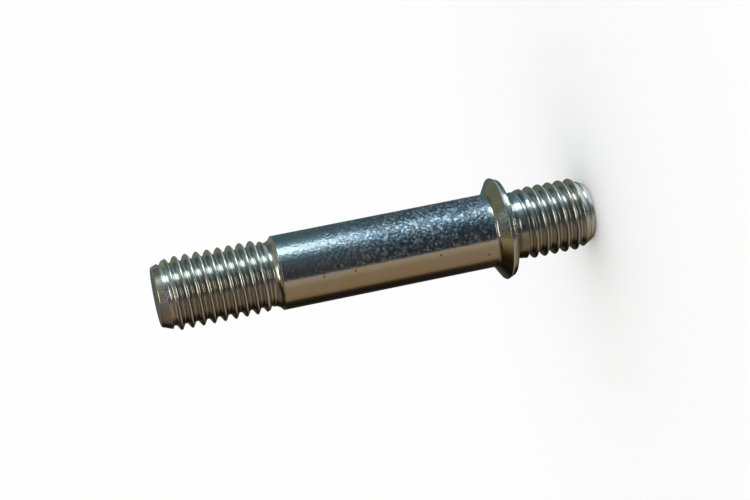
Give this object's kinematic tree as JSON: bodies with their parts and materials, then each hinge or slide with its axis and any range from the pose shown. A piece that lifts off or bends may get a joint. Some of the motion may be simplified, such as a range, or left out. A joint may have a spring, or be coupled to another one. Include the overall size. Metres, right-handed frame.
{
  "type": "double ended stud",
  "caption": "Steel stud with a long and a short threaded end, a plain shank between them and a thin collar with a conical flank.",
  "frame": {"origin": "centre of the lower end face, on the end of the short thread", "axes": "+Z along the stud, from the short thread up to the long thread; X and Y are any two cross directions, set by where the threads' crests start"},
  "size_m": [0.0166, 0.0166, 0.0718],
  "materials": {
    "zinc_plated_steel": "bright zinc plate with a clear passivate that shimmers in faint yellow, pink and green"
  },
  "bodies": {
    "root": {"stud": "zinc_plated_steel"}
  },
  "joints": []
}
